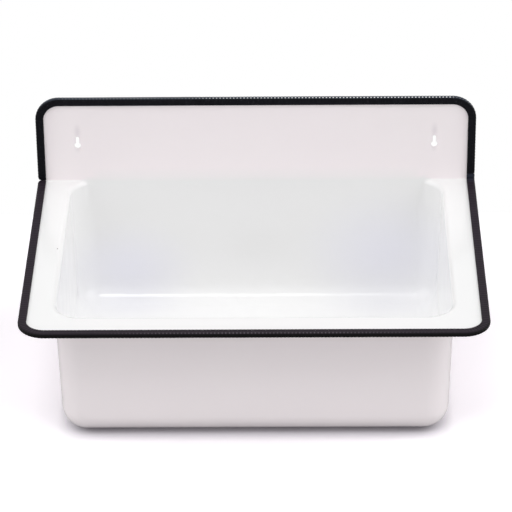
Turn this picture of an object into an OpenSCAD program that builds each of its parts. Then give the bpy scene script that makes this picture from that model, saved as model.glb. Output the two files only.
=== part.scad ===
// Wall-hung bucket sink: one enamelled steel pressing with a bowl, a flat rim and an upturned
// splashback, two lengths of steel-cored edge strip, and a centre-screw strainer waste.
// Millimetres, +Z up, +X to the right, +Y into the wall. The origin lies on the wall's surface,
// midway between the two wall screws that the sink hangs on.

/* [Overall size] */
// Width over the edge strip
overall_w = 510; // [470:5:640]
// Depth from the wall to the front of the edge strip
overall_d = 355; // [300:5:440]
// Height of the splashback's top over the rim
splash_h = 108; // [90:2:180]
// Thickness of the enamelled sheet
sheet_t = 2; // [1.4:0.1:2.6]
// Outer corner radius at the front of the rim
rim_corner_r = 30; // [22:1:44]
// Outer corner radius at the top of the splashback
splash_corner_r = 28; // [20:1:40]
// Inside radius of the fold between rim and splashback
fold_r = 2; // [1.6:0.2:4]

/* [Bowl] */
// From the outer edge at the side to the bowl's wall
rim_side = 39; // [32:1:60]
// From the outer edge at the front to the bowl's wall
rim_front = 41; // [32:1:60]
// Depth of the bowl's floor under the rim
bowl_depth = 155; // [100:5:240]
// Lean of the bowl's walls, in degrees
bowl_draft = 1.7; // [0.5:0.1:4]
// Radius of the bowl's bottom edge and of the foot of its upright corners
bowl_r = 26; // [14:1:36]
// Radius where the rim turns down into the bowl
mouth_r = 6; // [3.5:0.5:9]
// How far the bowl's back wall stands in front of the splashback
back_step = 0.6; // [0.4:0.1:2]

/* [Drain recess] */
// Diameter of the flat seat round the drain hole
seat_d = 74; // [72:1:90]
// Depth of the seat under the bowl's floor
recess_depth = 5; // [3:0.5:7]
// Radius of both bends of the recess's edge
recess_r = 4; // [3.6:0.2:7]
// Diameter of the drain hole
drain_d = 52; // [50:0.5:56]

/* [Keyholes] */
// Distance between the two keyholes
key_spacing = 414; // [200:2:420]
// Height of the wall screws over the rim
key_over_rim = 56; // [30:1:70]
// Diameter of the round hole that the screw's head goes through
key_hole_d = 7.5; // [6:0.5:12]
// Width of the slot that the screw's shank sits in
key_slot_w = 3.8; // [3:0.2:5.4]
// Drop from the screw's seat to the round hole's centre
key_drop = 9.5; // [8:0.5:14]

/* [Edge strip] */
// Width of the strip over the sheet
strip_w = 9.5; // [8:0.5:12]
// Thickness of the strip across the sheet
strip_t = 6.5; // [6:0.1:8]
// Thickness of the strip's web outside the sheet's edge
strip_web = 2.5; // [2:0.1:3.2]
// Radius of the strip's outer shoulders
shoulder_r = 2.2; // [1.6:0.1:2.6]
// Radius of the strip's inner tips
tip_r = 0.8; // [0.3:0.1:1]
// Free space between a leg of the strip and the sheet
grip_gap = 0.3; // [0.2:0.1:0.4]
// Width of a gripping lip where it bears on the sheet
lip_w = 0.5; // [0.3:0.1:0.8]
// Distance between the two gripping lips of a leg
lip_pitch = 3; // [2:0.2:3.6]
// Thickness of the steel core
core_t = 0.6; // [0.4:0.1:0.8]
// Plastic beyond the core at the tips of the strip's legs
core_cover = 1.2; // [1:0.1:1.6]
// Length of the rim strip's right end that is turned up the splashback
turn_up = 8.5; // [6:0.5:20]
// Distance of the strips' left ends from the start of the bend
end_gap = 0.5; // [0.4:0.1:4]
// Corner radius of the strips' cut ends
end_r = 2; // [1:0.5:3]

/* [Strainer] */
// Diameter of the strainer plate
plate_d = 71; // [66:0.5:73]
// Thickness of the strainer plate
plate_t = 1; // [0.8:0.1:1.5]
// Diameter of the dish's mouth in the plate
dish_mouth_d = 48; // [44:0.5:49]
// Diameter of the dish's flat bottom
dish_floor_d = 40; // [38:0.5:42]
// Depth of the dish
dish_depth = 6; // [4:0.5:8]
// Diameter of a strainer hole
strainer_hole_d = 5; // [3:0.25:5.5]
// Radius of the outer ring of strainer holes
outer_ring_r = 16; // [15.5:0.1:16.5]
// Radius of the inner ring of strainer holes
inner_ring_r = 10; // [9.6:0.1:10.2]
// Holes in the outer ring
outer_ring_n = 12; // [6:1:14]
// Holes in the inner ring
inner_ring_n = 6; // [3:1:7]
// Thickness of the seal under the plate
plate_seal_t = 1.5; // [1:0.1:2.5]
// How far a seal stays back from the edge that hides it
seal_inset = 1; // [0.2:0.1:1.5]
// Free space round the centre screw in the plate and the hub
screw_gap = 0.3; // [0.1:0.05:0.6]

/* [Waste fitting] */
// Thread diameter of the centre screw
screw_d = 6; // [5:0.5:6.5]
// Length of the centre screw under its head
screw_len = 32; // [28:1:40]
// Diameter of the centre screw's head
head_d = 13; // [11:0.5:13.5]
// Height of the centre screw's head
head_h = 3; // [2:0.2:4]
// Thickness of the rubber seal under the bowl
waste_seal_t = 3; // [2:0.5:5]
// Outer diameter of the fitting's flange
flange_d = 66; // [62:1:70]
// Thickness of the fitting's flange
flange_t = 3.5; // [2.5:0.5:5]
// Diameter of the fitting's mouth
mouth_d = 54; // [50:0.5:57]
// Outer diameter of the tail, over its inch-and-a-half pipe thread
tail_d = 47.8; // [46:0.1:50]
// Bore of the tail
tail_bore = 40; // [36:0.5:42]
// Length of the fitting under the rubber seal
tail_len = 50; // [44:1:90]
// Drop from the fitting's top to the top of the hub
hub_drop = 10; // [8:0.5:14]
// Height of the hub
hub_h = 12; // [11:0.5:15]
// Diameter of the hub
hub_d = 18; // [16:0.5:20]
// Thickness of the hub's three arms
arm_t = 3; // [2:0.5:5]
// Height of the hub's three arms
arm_h = 10; // [6:0.5:11]
// Diameter of the brass insert's barrel
insert_d = 11; // [9.5:0.5:12]
// Length of the brass insert's barrel
insert_len = 8; // [5:0.5:9]
// Thickness of the brass insert's collar
collar_t = 2; // [1:0.5:3]
// Diameter of the brass insert's collar
collar_d = 15; // [14:0.5:16]

/* [Hidden] */
$fn = 96;
enamel = "whitesmoke";
black_plastic = "#1b1b20";
bare_steel = "silver";
// Cutters run this far past the faces that they cut.
cut = 1;
// A radius is cut this much large, so that it crosses the flats it blends into.
blend = 0.002;

// Places that several pieces share are kept to a hundredth, so that their sums agree.
function to_hundredth(v) = round(v * 100) / 100;

// Places, all in the frame of the fold: y = 0 at the splashback's front face, z = 0 at the rim's
// top face.
fold_y = -(strip_t + sheet_t) / 2;
rim_z = -key_over_rim;
reach = overall_d + fold_y;
seat_r = seat_d / 2;

// Sheet outlines, one web inside the strip's outer faces.
sheet_w = overall_w - 2 * strip_web;
sheet_reach = reach - strip_web;
sheet_rise = splash_h - strip_web;

// Bowl section. The wall leans by the draft; its foot lies where the mouth radius ends, and the
// bottom radius is centred on the upright axis that the corners are revolved about.
foot_z = -mouth_r * (1 - sin(bowl_draft));
wall_run = (bowl_depth - bowl_r + foot_z) * tan(bowl_draft) + bowl_r / cos(bowl_draft);
mouth_run = wall_run + mouth_r * cos(bowl_draft);
axis_x = to_hundredth(overall_w / 2 - rim_side - wall_run);
axis_front = -to_hundredth(reach - rim_front - wall_run);
axis_back = -to_hundredth(back_step + wall_run);
drain_y = to_hundredth((axis_front + axis_back) / 2);
mouth_half_w = to_hundredth(axis_x + sqrt(pow(mouth_run, 2) - pow(axis_back, 2)));

// Recess section: two equal arcs that meet halfway.
recess_run = sqrt(pow(2 * recess_r, 2) - pow(2 * recess_r - recess_depth, 2));
seat_z = -bowl_depth - recess_depth;
under_z = seat_z - sheet_t;

// Edge strip.
leg_t = (strip_t - sheet_t) / 2 - grip_gap;
left_start = fold_r + end_gap;
core_skin = (leg_t - core_t) / 2;
lip_mid = (strip_web + strip_w) / 2;

// Waste fitting, from the seat down.
plate_z = seat_z + plate_seal_t + plate_t;
dish_z = plate_z - dish_depth;
body_z = under_z - waste_seal_t;
hub_z = body_z - hub_drop;
hub_foot_z = hub_z - hub_h;
funnel_h = (mouth_d - tail_bore) / 2;

module at_fold() {
    translate([0, fold_y, rim_z]) children();
}

module at_drain() {
    translate([0, fold_y + drain_y, rim_z]) children();
}

// A bar between two x values, centred on y = 0, with its own radius at either end.
module round_bar(x_in, x_out, h, r_in, r_out) {
    difference() {
        translate([x_in, -h / 2]) square([x_out - x_in, h]);
        for (side = [-1, 1]) {
            bar_corner(x_out, side * h / 2, r_out, 1, side);
            bar_corner(x_in, side * h / 2, r_in, -1, side);
        }
    }
}

// The sliver between a square corner and its radius.
module bar_corner(x, y, r, side_x, side_y) {
    translate([x - side_x * r, y - side_y * r])
        difference() {
            to_quadrant(side_x, side_y) square(r + cut);
            circle(r);
        }
}

module to_quadrant(side_x, side_y) {
    mirror([side_x < 0 ? 1 : 0, 0])
        mirror([0, side_y < 0 ? 1 : 0])
            children();
}

// A plate's outline: square at y = 0, with round corners at its far end.
module far_rounded(w, near, far, r) {
    union() {
        translate([-w / 2, near]) square([w, far - r - near]);
        translate([-w / 2 + r, near]) square([w - 2 * r, far - near]);
        for (side = [-1, 1])
            translate([side * (w / 2 - r), far - r]) circle(r);
    }
}

// Rim and splashback as one sheet bent along the fold.
module folded_sheet() {
    translate([0, 0, -sheet_t])
        mirror([0, 1, 0])
            linear_extrude(sheet_t)
                far_rounded(sheet_w, fold_r, sheet_reach, rim_corner_r - strip_web);
    translate([0, sheet_t, 0])
        rotate([90, 0, 0])
            linear_extrude(sheet_t)
                far_rounded(sheet_w, fold_r, sheet_rise, splash_corner_r - strip_web);
    translate([-sheet_w / 2, -fold_r, fold_r])
        rotate([90, 0, 90])
            linear_extrude(sheet_w)
                intersection() {
                    difference() {
                        circle(fold_r + sheet_t);
                        circle(fold_r);
                    }
                    translate([0, -fold_r - sheet_t - cut])
                        square(fold_r + sheet_t + cut);
                }
}

// Half section of the bowl, out from the corner axis. A skin of 0 is the inner face, and
// sheet_t the outer one.
module bowl_half(skin, top) {
    r = bowl_r + skin;
    centre = [0, -bowl_depth + bowl_r];
    lean = [cos(bowl_draft), -sin(bowl_draft)];
    foot = [wall_run, foot_z] + skin * lean;
    mouth = [mouth_run, -mouth_r];
    heel = [r * (1 - sin(bowl_draft)) / cos(bowl_draft), -bowl_depth - skin];
    difference() {
        polygon([[0, -bowl_depth - skin], heel, foot, mouth, [mouth_run, top], [0, top]]);
        difference() {
            polygon([
                centre, centre + 2 * r * lean, centre + 2 * r * [1, -1], centre + 2 * r * [0, -1]
            ]);
            translate(centre) circle(r + blend);
        }
        translate(mouth) circle(mouth_r - skin + blend);
    }
}

// The whole bowl as a block, its corners revolved and its walls drawn straight between them.
module bowl_block(skin, top) {
    span = axis_back - axis_front;
    translate([0, axis_back, 0])
        rotate([90, 0, 0])
            linear_extrude(span)
                union() {
                    translate([axis_x, 0]) bowl_half(skin, top);
                    mirror([1, 0]) translate([axis_x, 0]) bowl_half(skin, top);
                    translate([-axis_x, -bowl_depth - skin])
                        square([2 * axis_x, bowl_depth + skin + top]);
                }
    translate([axis_x, axis_front, 0])
        rotate([90, 0, -90])
            linear_extrude(2 * axis_x)
                bowl_half(skin, top);
    translate([-axis_x, axis_back, 0])
        rotate([90, 0, 90])
            linear_extrude(2 * axis_x)
                bowl_half(skin, top);
    for (side = [0, 1])
        mirror([side, 0, 0]) {
            translate([axis_x, axis_back, 0])
                rotate_extrude(angle = 90) bowl_half(skin, top);
            translate([axis_x, axis_front, 0])
                rotate([0, 0, -90])
                    rotate_extrude(angle = 90) bowl_half(skin, top);
        }
}

// What lies in front of a plane across the sink.
module in_front_of(y) {
    translate([-overall_w, y - 2 * overall_d, -2 * bowl_depth])
        cube([2 * overall_w, 2 * overall_d, 4 * bowl_depth]);
}

// The recess for the strainer, revolved about the drain's axis.
module recess_block(skin, top) {
    r = recess_r + skin;
    lip = [seat_r + recess_run, -bowl_depth - recess_r];
    base = [seat_r, seat_z + recess_r];
    over = (lip - base) / norm(lip - base);
    meet = base + r * over;
    heel = [meet[0] - over[1] / over[0] * (seat_z - skin - meet[1]), seat_z - skin];
    translate([0, drain_y, 0])
        rotate_extrude()
            difference() {
                polygon([[0, top], [lip[0], top], lip, meet, heel, [0, seat_z - skin]]);
                difference() {
                    polygon([base, base + 2 * r * over, base + 2 * r * [1, -1], base + 2 * r * [0, -1]]);
                    translate(base) circle(r + blend);
                }
                translate(lip) circle(recess_r - skin + 2 * blend);
            }
}

// One keyhole through the splashback, seen from the front.
module keyhole() {
    rotate([90, 0, 0])
        linear_extrude(4 * sheet_t, center = true)
            union() {
                circle(key_slot_w / 2);
                translate([-key_slot_w / 2, -key_drop]) square([key_slot_w, key_drop]);
                translate([0, -key_drop]) circle(key_hole_d / 2);
            }
}

module basin() {
    color(enamel)
        at_fold()
            difference() {
                union() {
                    folded_sheet();
                    intersection() {
                        bowl_block(sheet_t, 0);
                        in_front_of(sheet_t);
                    }
                    translate([-mouth_half_w, 0, -mouth_r / 2])
                        cube([2 * mouth_half_w, sheet_t, mouth_r / 2 + fold_r]);
                    recess_block(sheet_t, -bowl_depth);
                }
                intersection() {
                    bowl_block(0, fold_r);
                    in_front_of(0);
                }
                recess_block(0, -bowl_depth + cut);
                translate([0, drain_y, under_z - cut])
                    cylinder(h = sheet_t + 2 * cut, d = drain_d);
                for (side = [-1, 1])
                    translate([side * key_spacing / 2, sheet_t / 2, key_over_rim])
                        keyhole();
            }
}

// Section of the edge strip: x = 0 is its outer face, and the sheet lies on y = 0.
module strip_section() {
    difference() {
        round_bar(-strip_w, 0, strip_t, tip_r, shoulder_r);
        translate([-strip_w - cut, -sheet_t / 2 - grip_gap])
            square([strip_w - strip_web + cut, sheet_t + 2 * grip_gap]);
        core_section();
    }
    for (side = [-1, 1])
        for (step = [-0.5, 0.5])
            translate([-lip_mid + step * lip_pitch, side * (sheet_t / 2 + grip_gap)])
                grip_lip(-side);
}

// A lip that bears on the sheet with its flat crest.
module grip_lip(side) {
    root = lip_w / 2 + grip_gap;
    polygon([
        [-root, 0], [root, 0], [lip_w / 2, side * grip_gap], [-lip_w / 2, side * grip_gap]
    ]);
}

// Section of the steel core, halfway through the thickness of each leg.
module core_section() {
    tips = -(strip_w - core_cover);
    intersection() {
        difference() {
            round_bar(-strip_w, -core_skin, strip_t - 2 * core_skin, tip_r, shoulder_r - core_skin);
            round_bar(
                -strip_w - cut, -core_skin - core_t, strip_t - 2 * (core_skin + core_t),
                tip_r, shoulder_r - core_skin - core_t
            );
        }
        translate([tips, -strip_t]) square([-tips, 2 * strip_t]);
    }
}

// Draws a section along a U-shaped edge: two arms that run forward from the fold, two round
// corners and the bar between them.
module along_edge(length, corner_r, right_start) {
    translate([overall_w / 2, -right_start, 0])
        rotate([90, 0, 0])
            linear_extrude(length - corner_r - right_start) children();
    mirror([1, 0, 0])
        translate([overall_w / 2, -left_start, 0])
            rotate([90, 0, 0])
                linear_extrude(length - corner_r - left_start) children();
    translate([overall_w / 2 - corner_r, -length, 0])
        rotate([90, 0, -90])
            linear_extrude(overall_w - 2 * corner_r) children();
    for (side = [0, 1])
        mirror([side, 0, 0])
            translate([overall_w / 2 - corner_r, corner_r - length, 0])
                rotate([0, 0, -90])
                    rotate_extrude(angle = 90)
                        translate([corner_r, 0]) children();
}

// Takes the outer corner off a cut end at y = -start, on the right (1) or the left (-1).
module end_corner(side, start) {
    mirror([side < 0 ? 1 : 0, 0, 0])
        translate([overall_w / 2 - end_r, -start - end_r, -strip_t])
            difference() {
                cube([end_r + cut, end_r + cut, 2 * strip_t]);
                translate([0, 0, -cut]) cylinder(h = 2 * strip_t + 2 * cut, r = end_r);
            }
}

// The rim strip's right end, bent up the fold and cut off on the splashback.
module turned_end() {
    translate([overall_w / 2, -fold_r, fold_r])
        rotate([0, 90, 0])
            rotate_extrude(angle = 90)
                intersection() {
                    translate([fold_r + sheet_t / 2, 0]) rotate(90) children();
                    translate([0, -2 * strip_w]) square([4 * strip_t, 4 * strip_w]);
                }
    translate([overall_w / 2, sheet_t / 2, fold_r])
        linear_extrude(turn_up - fold_r) children();
}

// Stands something that lies along the rim up along the splashback.
module on_splashback() {
    translate([0, sheet_t / 2, 0]) rotate([-90, 0, 0]) children();
}

module rim_strip() {
    at_fold() {
        difference() {
            union() {
                translate([0, 0, -sheet_t / 2])
                    along_edge(reach, rim_corner_r, fold_r) children();
                turned_end() children();
            }
            translate([0, 0, -sheet_t / 2]) end_corner(-1, left_start);
            on_splashback() mirror([0, 1, 0]) end_corner(1, -turn_up);
        }
    }
}

module splashback_strip() {
    at_fold()
        on_splashback()
            difference() {
                along_edge(splash_h, splash_corner_r, turn_up) children();
                end_corner(-1, left_start);
                end_corner(1, turn_up);
            }
}

module rim_edging() {
    color(black_plastic) rim_strip() strip_section();
}

module rim_edging_core() {
    color(bare_steel) rim_strip() core_section();
}

module splashback_edging() {
    color(black_plastic) splashback_strip() strip_section();
}

module splashback_edging_core() {
    color(bare_steel) splashback_strip() core_section();
}

module ring(z, h, outer_d, inner_d) {
    translate([0, 0, z])
        difference() {
            cylinder(h = h, d = outer_d);
            translate([0, 0, -cut]) cylinder(h = h + 2 * cut, d = inner_d);
        }
}

// Dished plate of even thickness with two rings of holes and the screw's hole.
module strainer_plate() {
    slope = atan(dish_depth / ((dish_mouth_d - dish_floor_d) / 2));
    lap = plate_t * tan(slope / 2);
    color(bare_steel)
        at_drain()
            difference() {
                rotate_extrude()
                    polygon([
                        [plate_d / 2, plate_z], [dish_mouth_d / 2, plate_z],
                        [dish_floor_d / 2, dish_z], [0, dish_z], [0, dish_z - plate_t],
                        [dish_floor_d / 2 + lap, dish_z - plate_t],
                        [dish_mouth_d / 2 + lap, plate_z - plate_t],
                        [plate_d / 2, plate_z - plate_t]
                    ]);
                strainer_holes(outer_ring_n, outer_ring_r, strainer_hole_d);
                strainer_holes(inner_ring_n, inner_ring_r, strainer_hole_d);
                strainer_holes(1, 0, screw_d + 2 * screw_gap);
            }
}

module strainer_holes(count, ring_r, d) {
    for (i = [0 : count - 1])
        rotate(i * 360 / count)
            translate([ring_r, 0, dish_z - plate_t - cut])
                cylinder(h = plate_t + 2 * cut, d = d);
}

// Slotted screw with a low domed head.
module strainer_screw() {
    dome_r = (pow(head_d / 2, 2) + pow(head_h, 2)) / (2 * head_h);
    slot_w = head_d / 9;
    color(bare_steel)
        at_drain()
            difference() {
                union() {
                    translate([0, 0, dish_z - screw_len]) cylinder(h = screw_len + cut, d = screw_d);
                    intersection() {
                        translate([0, 0, dish_z]) cylinder(h = head_h, d = head_d);
                        translate([0, 0, dish_z + head_h - dome_r]) sphere(dome_r);
                    }
                }
                translate([-head_d, -slot_w / 2, dish_z + head_h / 2])
                    cube([2 * head_d, slot_w, head_h]);
            }
}

module strainer_seal() {
    color("dimgray")
        at_drain()
            ring(seat_z, plate_seal_t, plate_d - 2 * seal_inset, drain_d + 2 * seal_inset);
}

module waste_seal() {
    color("dimgray")
        at_drain()
            ring(body_z, waste_seal_t, flange_d - 2 * seal_inset, mouth_d);
}

// Flanged fitting with a threaded tail; three arms carry the hub that the screw pulls on.
module waste_body() {
    shoulder = (flange_d - tail_d) / 4;
    tail_end = body_z - tail_len;
    color("gainsboro")
        at_drain()
            difference() {
                union() {
                    difference() {
                        rotate_extrude()
                            polygon([
                                [0, body_z], [flange_d / 2, body_z],
                                [flange_d / 2, body_z - flange_t],
                                [tail_d / 2 + shoulder, body_z - flange_t],
                                [tail_d / 2, body_z - flange_t - shoulder],
                                [tail_d / 2, tail_end], [0, tail_end]
                            ]);
                        rotate_extrude()
                            polygon([
                                [0, body_z + cut], [mouth_d / 2, body_z + cut],
                                [mouth_d / 2, body_z], [tail_bore / 2, body_z - funnel_h],
                                [tail_bore / 2, tail_end - cut], [0, tail_end - cut]
                            ]);
                    }
                    translate([0, 0, hub_foot_z]) cylinder(h = hub_h, d = hub_d);
                    for (i = [0 : 2])
                        rotate(90 + i * 120)
                            translate([0, -arm_t / 2, hub_foot_z])
                                cube([(tail_bore + tail_d) / 4, arm_t, arm_h]);
                }
                translate([0, 0, hub_foot_z - cut])
                    cylinder(h = hub_h + 2 * cut, d = screw_d + 2 * screw_gap);
                translate([0, 0, hub_foot_z - cut])
                    cylinder(h = insert_len + cut, d = insert_d);
            }
}

// Collared brass nut drawn up into the hub from below.
module screw_insert() {
    color("goldenrod")
        at_drain()
            difference() {
                union() {
                    translate([0, 0, hub_foot_z - collar_t])
                        cylinder(h = collar_t + insert_len, d = insert_d);
                    translate([0, 0, hub_foot_z - collar_t])
                        cylinder(h = collar_t, d = collar_d);
                }
                translate([0, 0, hub_foot_z - collar_t - cut])
                    cylinder(h = collar_t + insert_len + 2 * cut, d = screw_d);
            }
}

basin();
rim_edging();
rim_edging_core();
splashback_edging();
splashback_edging_core();
strainer_plate();
strainer_screw();
strainer_seal();
waste_seal();
waste_body();
screw_insert();
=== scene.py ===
import math

import bmesh
import bpy
import numpy as np
from mathutils import Matrix, Vector


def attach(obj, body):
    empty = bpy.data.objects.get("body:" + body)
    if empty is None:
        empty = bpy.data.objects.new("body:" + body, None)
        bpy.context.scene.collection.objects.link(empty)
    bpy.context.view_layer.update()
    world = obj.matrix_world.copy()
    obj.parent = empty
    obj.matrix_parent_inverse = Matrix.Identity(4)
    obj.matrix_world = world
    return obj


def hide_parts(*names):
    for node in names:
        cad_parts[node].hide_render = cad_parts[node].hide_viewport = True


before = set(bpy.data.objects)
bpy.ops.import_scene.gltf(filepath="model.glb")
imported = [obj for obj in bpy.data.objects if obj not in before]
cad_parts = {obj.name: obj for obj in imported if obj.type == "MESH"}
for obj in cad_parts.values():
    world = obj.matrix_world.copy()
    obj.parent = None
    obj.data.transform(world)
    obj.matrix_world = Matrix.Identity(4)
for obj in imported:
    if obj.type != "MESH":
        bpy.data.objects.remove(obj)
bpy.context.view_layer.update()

# Sizes in millimetres, as in the part's source. The fold frame has y = 0 on the splashback's
# front face and z = 0 on the rim's top face.
MM = 0.001
FOLD_Y = -4.25
RIM_Z = -56.0
HALF_W = 255.0
REACH = 350.75
SPLASH_H = 108.0
SHEET_T = 2.0
FOLD_R = 2.0
STRIP_WEB = 2.5
STRIP_W = 9.5
STRIP_T = 6.5
SHOULDER_R = 2.2
GRIP_GAP = 0.3
LIP_PITCH = 3.0
LIP_W = 0.5
TURN_UP = 8.5
END_GAP = 0.27
JOINT_GAP = 0.02
RIB_PITCH = 3.95
RIM_CORNER_R = 30.0
SPLASH_CORNER_R = 28.0
BOWL_DEPTH = 155.0
BOWL_R = 26.0
MOUTH_R = 6.0
DRAFT = math.radians(1.7)
BACK_STEP = 0.6
AXIS_X = 186.33
AXIS_FRONT = -280.08
AXIS_BACK = -30.27
DRAIN_Y = -155.17
SEAT_R = 37.0
RECESS_DEPTH = 5.0
RECESS_R = 4.0
DRAIN_R = 26.0
KEY_X = 207.0
KEY_Z = 56.0
KEY_DROP = 9.5
KEY_R = 3.75
KEY_SLOT_R = 1.9
SEAT_Z = -BOWL_DEPTH - RECESS_DEPTH
UNDER_Z = SEAT_Z - SHEET_T

FOOT_Z = -MOUTH_R * (1 - math.sin(DRAFT))
WALL_RUN = (BOWL_DEPTH - BOWL_R + FOOT_Z) * math.tan(DRAFT) + BOWL_R / math.cos(DRAFT)
MOUTH_RUN = WALL_RUN + MOUTH_R * math.cos(DRAFT)
SHEET_HALF = HALF_W - STRIP_WEB
SHEET_FRONT = -(REACH - STRIP_WEB)
SHEET_TOP = SPLASH_H - STRIP_WEB

# As good as nothing, and farther than anything.
TINY = 1e-9
FAR = 1e9


def to_row(points):
    """Points of the fold frame in millimetres, as points of the row frame in metres."""
    moved = np.asarray(points, float) + (0.0, FOLD_Y, RIM_Z)
    return moved * MM


def new_piece(name, points, faces, smooth=True):
    mesh = bpy.data.meshes.new(name)
    mesh.from_pydata([tuple(p) for p in to_row(points)], [], [tuple(f) for f in faces])
    mesh.update()
    piece = bpy.data.objects.new(name, mesh)
    bpy.context.scene.collection.objects.link(piece)
    if smooth:
        mesh.shade_smooth()
    return piece


def finished_mesh(piece):
    """Turns a piece with modifiers into a plain mesh without them."""
    bpy.context.view_layer.update()
    graph = bpy.context.evaluated_depsgraph_get()
    plain = bpy.data.meshes.new_from_object(piece.evaluated_get(graph))
    piece.modifiers.clear()
    old = piece.data
    piece.data = plain
    bpy.data.meshes.remove(old)
    plain.name = piece.name


def combine(piece, others, operation):
    """Cuts other pieces out of a piece, or joins them to it, and removes them."""
    for other in others:
        step = piece.modifiers.new("fit", "BOOLEAN")
        step.operation = operation
        step.solver = "EXACT"
        step.object = other
    finished_mesh(piece)
    for other in others:
        bpy.data.objects.remove(other)


def even_shading(piece, angle=40):
    """Smooth faces, sharp past the angle, with flats that keep their own normals."""
    piece.data.shade_smooth()
    piece.data.set_sharp_from_angle(angle=math.radians(angle))
    weigh = piece.modifiers.new("even_shading", "WEIGHTED_NORMAL")
    weigh.keep_sharp = True
    weigh.weight = 100
    finished_mesh(piece)


def face_outwards(piece, merge=False):
    """Turns the faces of a closed mesh outwards, with its doubled points merged first if asked."""
    shell = bmesh.new()
    shell.from_mesh(piece.data)
    if merge:
        bmesh.ops.remove_doubles(shell, verts=shell.verts, dist=1e-7)
    bmesh.ops.recalc_face_normals(shell, faces=shell.faces)
    shell.to_mesh(piece.data)
    shell.free()


def mark(piece, name, values):
    """Stores a number for each point of a piece, for its material or recipe to read."""
    piece.data.attributes.new(name, "FLOAT", "POINT").data.foreach_set("value", values)


def dress(piece, material):
    piece.data.materials.clear()
    piece.data.materials.append(material)


# Materials

def linear(hex_colour):
    """An sRGB hex colour as linear values with full alpha."""
    parts = [int(hex_colour[i:i + 2], 16) / 255 for i in (1, 3, 5)]
    light = [c / 12.92 if c <= 0.04045 else ((c + 0.055) / 1.055) ** 2.4 for c in parts]
    return (*light, 1.0)


def add(tree, kind, inputs=None, **settings):
    """Adds a node with its settings, and its inputs given as values or as sockets to link."""
    node = tree.nodes.new(kind)
    for key, value in settings.items():
        setattr(node, key, value)
    for key, value in (inputs or {}).items():
        if isinstance(value, bpy.types.NodeSocket):
            tree.links.new(value, node.inputs[key])
        else:
            node.inputs[key].default_value = value
    return node


def spot(tree, place, centre, reach):
    """A soft spot about a point of the fold frame: 1 in its middle, 0 past its reach, all in
    millimetres."""
    middle = tuple(float(v) for v in to_row([centre])[0])
    away = add(tree, "ShaderNodeVectorMath", {0: place, 1: middle}, operation="SUBTRACT")
    scaled = add(tree, "ShaderNodeVectorMath", {
        0: away.outputs["Vector"], 1: tuple(1 / (r * MM) for r in reach),
    }, operation="MULTIPLY")
    far = add(tree, "ShaderNodeVectorMath", {0: scaled.outputs["Vector"]}, operation="LENGTH")
    return add(tree, "ShaderNodeMapRange", {
        "Value": far.outputs["Value"], "From Min": 1.0, "From Max": 0.0,
    }, interpolation_type="SMOOTHSTEP").outputs["Result"]


def new_material(name):
    material = bpy.data.materials.new(name)
    material.use_nodes = True
    tree = material.node_tree
    tree.nodes.clear()
    skin = add(tree, "ShaderNodeBsdfPrincipled")
    add(tree, "ShaderNodeOutputMaterial", {"Surface": skin.outputs["BSDF"]})
    return material, tree, skin


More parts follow.
